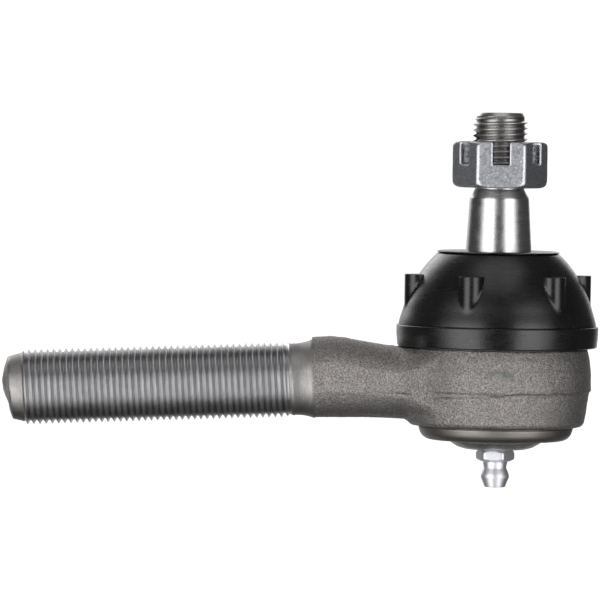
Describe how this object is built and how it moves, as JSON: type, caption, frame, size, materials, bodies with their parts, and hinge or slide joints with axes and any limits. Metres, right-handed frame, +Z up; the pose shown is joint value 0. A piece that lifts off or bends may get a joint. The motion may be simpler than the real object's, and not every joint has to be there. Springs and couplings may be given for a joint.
{
  "type": "tie rod end",
  "caption": "Outer tie rod end: a greased ball joint in a forged socket, with a threaded shank, tapered stud, slotted nut and lugged dust boot.",
  "frame": {"origin": "on the stud's axis, at the large end of its taper, which is the top plane of the dust boot", "axes": "+Z up the stud towards its thread, -X along the shank away from the socket (the shank drops 2.5 degrees below -X)"},
  "size_m": [0.1357, 0.046, 0.0855],
  "materials": {
    "forging": "shot-blasted steel forging, machined thread and lip",
    "bearing": "oil-filled sintered steel",
    "spring_steel": "drawn spring wire",
    "cover_steel": "dull pressed steel, phosphated",
    "fitting_zinc": "bright zinc plate",
    "check_ball": "polished bearing ball",
    "stud_steel": "ground taper, rolled thread",
    "nut_zinc": "zinc plate with tool scuffs",
    "boot_rubber": "satin moulded rubber",
    "ring_steel": "plain pressed steel",
    "seal_washer": "satin black"
  },
  "bodies": {
    "socket": {"socket_body": "forging", "upper_bearing": "bearing", "cover_plate": "cover_steel", "preload_spring": "spring_steel", "grease_fitting": "fitting_zinc", "fitting_check_spring": "spring_steel"},
    "lower_seat": {"lower_bearing": "bearing"},
    "check_ball": {"fitting_check_ball": "check_ball"},
    "boot": {"dust_boot": "boot_rubber", "boot_ring": "ring_steel"},
    "boot_neck": {"boot_seal_washer": "seal_washer"},
    "stud": {"ball_stud": "stud_steel"},
    "nut": {"castle_nut": "nut_zinc"}
  },
  "joints": [
    {"name": "boot_swivel", "type": "hinge", "parent": "socket", "child": "boot", "pos_m": [0, 0, -0.02825], "axis": [0, 0, 1], "continuous": true},
    {"name": "stud_tilt", "type": "hinge", "parent": "boot", "child": "boot_neck", "pos_m": [0, 0, -0.02825], "axis": [0, 1, 0], "range_deg": [-20, 20], "deforming": ["dust_boot"]},
    {"name": "stud_spin", "type": "hinge", "parent": "boot_neck", "child": "stud", "pos_m": [0, 0, -0.02825], "axis": [0, 0, 1], "continuous": true},
    {"name": "nut_turn", "type": "hinge", "parent": "stud", "child": "nut", "pos_m": [0, 0, 0.01965], "axis": [0, 0, 1], "continuous": true},
    {"name": "lower_seat_slide", "type": "slide", "parent": "socket", "child": "lower_seat", "axis": [0, 0, 1], "range_m": [-0.0005, 0], "stiffness_N_per_m": 5000, "springref_m": 0.002, "deforming": ["preload_spring"]},
    {"name": "check_ball_slide", "type": "slide", "parent": "socket", "child": "check_ball", "axis": [0, 0, 1], "range_m": [0, 0.0008], "stiffness_N_per_m": 50, "springref_m": -0.001, "deforming": ["fitting_check_spring"]}
  ]
}
